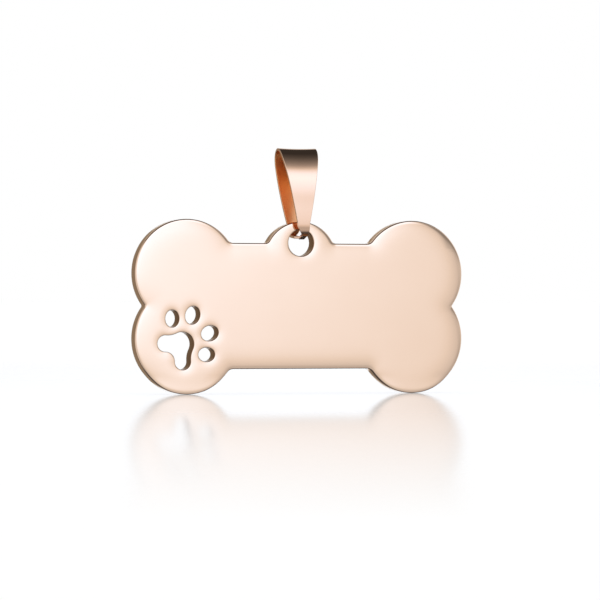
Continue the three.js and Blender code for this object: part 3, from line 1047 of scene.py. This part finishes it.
# %% Light the tent
FILL_LEVEL = 0.85
DARK_LEVEL = 0.04
FILL_LEFT = (-28, -42)
FILL_RIGHT = (52, 70)
FILL_HEIGHT = (28, 48)
FILL_LOW = (-48, -28)
FILL_LIFT = 18
FILL_LIFT_FROM = (-0.2, 0.2)
BACK_LEVEL = 0.26
BACK_FROM = (0.55, 0.78)
BACK_HEIGHT = (0.3, 0.5)
BACK_WARMTH = (0.22, 0.03, -0.2)
CLEAR_LEVEL = 1.15
CLEAR_SIDE = (0.09, 0.14)
CLEAR_BEHIND = (0.4, 0.6)
CLEAR_HEIGHT = (0.2, 0.32)
CLEAR_LOW = (-0.36, -0.26)
COOLING = (-0.3, 0.0, 0.42)
COOLING_RANGE = (-0.17, 0.38)


def front_level(tree, part):
    """The panel and the fill beside it, from the parts of a direction."""
    toward = total(tree, "MULTIPLY", part["Y"], -1)
    turn = total(tree, "DEGREES", total(tree, "ARCTAN2", part["X"], toward))
    height = total(tree, "DEGREES", total(tree, "ARCSINE", part["Z"]))
    aside = total(tree, "MAXIMUM", eased(tree, turn, *FILL_LEFT), eased(tree, turn, *FILL_RIGHT))
    fill = eased(tree, height, *FILL_HEIGHT, FILL_LEVEL, DARK_LEVEL)
    lifted = total(tree, "SUBTRACT", height, eased(tree, part["Y"], *FILL_LIFT_FROM, 0.0, FILL_LIFT))
    fill = total(tree, "MINIMUM", fill, eased(tree, lifted, *FILL_LOW, DARK_LEVEL, FILL_LEVEL))
    return blended(tree, aside, panel_level(tree, turn, height), fill)


def back_share(tree, part):
    """How far a direction lies in the dim back."""
    level = eased(tree, total(tree, "ABSOLUTE", part["Z"]), *BACK_HEIGHT, 1.0, 0.0)
    return total(tree, "MULTIPLY", eased(tree, part["Y"], *BACK_FROM), level)


def clear_share(tree, part):
    """How far a direction lies in the clear zone."""
    low = eased(tree, part["Z"], *CLEAR_HEIGHT, 1.0, 0.0)
    low = total(tree, "MULTIPLY", low, eased(tree, part["Z"], *CLEAR_LOW))
    right = eased(tree, part["X"], *CLEAR_SIDE)
    behind = total(tree, "MULTIPLY", right, eased(tree, part["Y"], *CLEAR_BEHIND))
    return total(tree, "MULTIPLY", behind, low)


def tent_light():
    material = bpy.data.materials.new("tent_light")
    material.use_nodes = True
    tree = material.node_tree
    tree.nodes.clear()
    place = tree.nodes.new("ShaderNodeTexCoord").outputs["Object"]
    toward = vector(tree, "NORMALIZE", vector(tree, "SUBTRACT", place, tuple(plate_middle)))
    part = add(tree, "ShaderNodeSeparateXYZ", {0: toward}).outputs
    back, clear = back_share(tree, part), clear_share(tree, part)
    level = blended(tree, back, front_level(tree, part), BACK_LEVEL)
    level = blended(tree, clear, level, CLEAR_LEVEL)
    excess = clamped(tree, total(tree, "SUBTRACT", level, 1), *COOLING_RANGE)
    warm = total(tree, "MULTIPLY", back, total(tree, "SUBTRACT", 1, clear))
    colour = vector(tree, "ADD", (1, 1, 1), vector(tree, "SCALE", COOLING, excess))
    colour = vector(tree, "ADD", colour, vector(tree, "SCALE", BACK_WARMTH, warm))
    glow = add(tree, "ShaderNodeEmission", {"Color": colour, "Strength": level}).outputs[0]
    end = tree.nodes.new("ShaderNodeOutputMaterial")
    tree.links.new(glow, end.inputs["Surface"])
    return material


tent_glow = tent_light()
print("nodes in the tent's light:", len(tent_glow.node_tree.nodes))

# %% [markdown]
# ## Pitching the tent
# The tent is a sphere round the middle of the plate. It is switched off for the camera, for diffuse
# light and for shadows, so the floor is lit without it and nothing but reflections shows it.

# %% Pitch the tent
TENT_RADIUS = 0.4
TENT_SEGMENTS = 64


def pitch_tent():
    tent = bmesh.new()
    bmesh.ops.create_uvsphere(
        tent, u_segments=TENT_SEGMENTS, v_segments=TENT_SEGMENTS // 2, radius=TENT_RADIUS)
    bmesh.ops.translate(tent, verts=tent.verts, vec=plate_middle)
    mesh = bpy.data.meshes.new("light_tent")
    tent.to_mesh(mesh)
    tent.free()
    made = bpy.data.objects.new("light_tent", mesh)
    mesh.materials.append(tent_glow)
    bpy.context.collection.objects.link(made)
    made.visible_camera = False
    made.visible_diffuse = False
    made.visible_transmission = False
    made.visible_shadow = False
    return made


tent = pitch_tent()
print("tent faces:", len(tent.data.polygons))

# %% [markdown]
# ## The floor
# The tag stands on a pale glossy floor. Part of its white takes light and shadow, and the rest is a
# glow that only the camera sees. A thin gloss shows a blurred reflection of the tag. It is drawn out
# along a grain that runs away from the viewer, and it fades with distance.

# %% Lay the floor
FLOOR_SIZE = 40.0
FLOOR_WHITE = (0.93, 0.93, 0.93, 1)
FLOOR_GLOW = 0.6
FLOOR_GLOSS = 0.62
GLOSS_REACH = 0.25
FLOOR_ROUGHNESS = 0.13
FLOOR_GRAIN = 0.76
FLOOR_SHEEN = (0.89, 0.87, 0.855, 1)


def floor_finish():
    material = bpy.data.materials.new("pale_floor")
    material.use_nodes = True
    tree = material.node_tree
    tree.nodes.clear()
    place = tree.nodes.new("ShaderNodeTexCoord").outputs["Object"]
    below = (plate_middle.x, plate_low.y, floor_z)
    away = vector(tree, "LENGTH", vector(tree, "SUBTRACT", place, below))
    share = total(tree, "POWER", total(tree, "DIVIDE", away, GLOSS_REACH), 2)
    fade = total(tree, "MULTIPLY", total(tree, "MAXIMUM", total(tree, "SUBTRACT", 1, share), 0), FLOOR_GLOSS)
    shaded = add(tree, "ShaderNodeBsdfDiffuse", {"Color": FLOOR_WHITE}).outputs[0]
    seen = tree.nodes.new("ShaderNodeLightPath").outputs["Is Camera Ray"]
    plain = add(tree, "ShaderNodeEmission", {"Strength": seen}).outputs[0]
    matt = add(tree, "ShaderNodeMixShader", {0: FLOOR_GLOW, 1: shaded, 2: plain}).outputs[0]
    grain = add(tree, "ShaderNodeCombineXYZ", {"X": math.sin(VIEW_TURN), "Y": math.cos(VIEW_TURN)}).outputs[0]
    gloss = add(tree, "ShaderNodeBsdfAnisotropic", {
        "Color": FLOOR_SHEEN, "Roughness": FLOOR_ROUGHNESS, "Anisotropy": FLOOR_GRAIN, "Tangent": grain,
    }).outputs[0]
    both = add(tree, "ShaderNodeMixShader", {0: fade, 1: matt, 2: gloss}).outputs[0]
    end = tree.nodes.new("ShaderNodeOutputMaterial")
    tree.links.new(both, end.inputs["Surface"])
    return material


def lay_floor():
    mesh = bpy.data.meshes.new("floor")
    reach = FLOOR_SIZE / 2
    corners = [(-reach, -reach), (reach, -reach), (reach, reach), (-reach, reach)]
    mesh.from_pydata([(x, y, floor_z) for x, y in corners], [], [(0, 1, 2, 3)])
    mesh.materials.append(floor_finish())
    floor = bpy.data.objects.new("floor", mesh)
    bpy.context.collection.objects.link(floor)
    floor.visible_glossy = False


lay_floor()
print("floor height in mm:", round(floor_z / MM, 2))

# %% [markdown]
# ## The world and the overhead light
# For the camera, for reflections and through glass, the world is plain white. Its own light is weak, and
# a wide overhead light does the rest, so that the tag has a soft shadow close under it. The metal
# doesn't reflect that light, because its reflections are the tent's work.

# %% Light the world
SKY_LIGHT = 0.2
SUN_LIGHT = 0.89
SUN_WIDTH = math.radians(90)


def light_world():
    world = bpy.data.worlds.new("white_studio")
    bpy.context.scene.world = world
    world.use_nodes = True
    tree = world.node_tree
    rays = tree.nodes.new("ShaderNodeLightPath").outputs
    seen = total(tree, "MAXIMUM", rays["Is Camera Ray"], rays["Is Glossy Ray"])
    seen = total(tree, "MAXIMUM", seen, rays["Is Transmission Ray"])
    sky = tree.nodes["Background"]
    sky.inputs["Color"].default_value = (1, 1, 1, 1)
    tree.links.new(blended(tree, seen, SKY_LIGHT, 1.0), sky.inputs["Strength"])


def hang_sun():
    sun = bpy.data.objects.new("overhead_light", bpy.data.lights.new("overhead_light", "SUN"))
    sun.data.energy = SUN_LIGHT * math.pi
    sun.data.angle = SUN_WIDTH
    sun.visible_glossy = False
    bpy.context.collection.objects.link(sun)
    return sun


light_world()
sun = hang_sun()
print("overhead light:", round(sun.data.energy, 2))

# %% [markdown]
# ## Finishing
# Light bounces many times between the lining of the bail and its own legs, so reflections get a few
# more bounces than usual. The colours are shown plainly, with no film look.

# %% Finish
GLOSSY_BOUNCES = 10
bpy.context.scene.view_settings.view_transform = "Standard"
bpy.context.scene.cycles.glossy_bounces = GLOSSY_BOUNCES
